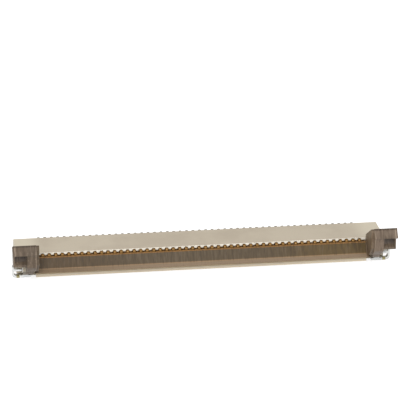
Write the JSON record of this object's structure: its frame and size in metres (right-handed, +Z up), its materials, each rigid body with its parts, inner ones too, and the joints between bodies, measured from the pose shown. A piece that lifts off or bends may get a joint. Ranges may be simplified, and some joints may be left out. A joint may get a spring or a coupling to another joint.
{
  "type": "fpc connector",
  "caption": "Low right-angle surface-mount socket for a flat flexible cable, with a fine row of gold contacts and a dark flip-up locking actuator with tall end ears.",
  "frame": {"origin": "middle of the connector's length on the board plane, 0.70 mm behind the front edge of the comb", "axes": "+X along the row of contacts, -Y out of the cable mouth, +Y towards the solder tails, +Z up from the board"},
  "size_m": [0.0294, 0.0063, 0.0033],
  "materials": {
    "housing_resin": "matte beige moulded resin",
    "actuator_resin": "satin dark brown moulded resin",
    "contact_gold": "gold plated stamped metal",
    "fitting_tin": "tin plated bent sheet metal"
  },
  "bodies": {
    "connector": {"housing": "housing_resin", "contact_01": "contact_gold", "contact_02": "contact_gold", "contact_03": "contact_gold", "contact_04": "contact_gold", "contact_05": "contact_gold", "contact_06": "contact_gold", "contact_07": "contact_gold", "contact_08": "contact_gold", "contact_09": "contact_gold", "contact_10": "contact_gold", "contact_11": "contact_gold", "contact_12": "contact_gold", "contact_13": "contact_gold", "contact_14": "contact_gold", "contact_15": "contact_gold", "contact_16": "contact_gold", "contact_17": "contact_gold", "contact_18": "contact_gold", "contact_19": "contact_gold", "contact_20": "contact_gold", "contact_21": "contact_gold", "contact_22": "contact_gold", "contact_23": "contact_gold", "contact_24": "contact_gold", "contact_25": "contact_gold", "contact_26": "contact_gold", "contact_27": "contact_gold", "contact_28": "contact_gold", "contact_29": "contact_gold", "contact_30": "contact_gold", "contact_31": "contact_gold", "contact_32": "contact_gold", "contact_33": "contact_gold", "contact_34": "contact_gold", "contact_35": "contact_gold", "contact_36": "contact_gold", "contact_37": "contact_gold", "contact_38": "contact_gold", "contact_39": "contact_gold", "contact_40": "contact_gold", "contact_41": "contact_gold", "contact_42": "contact_gold", "contact_43": "contact_gold", "contact_44": "contact_gold", "contact_45": "contact_gold", "contact_46": "contact_gold", "contact_47": "contact_gold", "contact_48": "contact_gold", "contact_49": "contact_gold", "contact_50": "contact_gold", "fitting_left": "fitting_tin", "fitting_right": "fitting_tin"},
    "lock": {"actuator": "actuator_resin"}
  },
  "joints": [
    {"name": "actuator_flip", "type": "hinge", "parent": "connector", "child": "lock", "pos_m": [0, -0.00115, 0.00115], "axis": [-1, 0, 0], "range_deg": [-36, 0]}
  ]
}
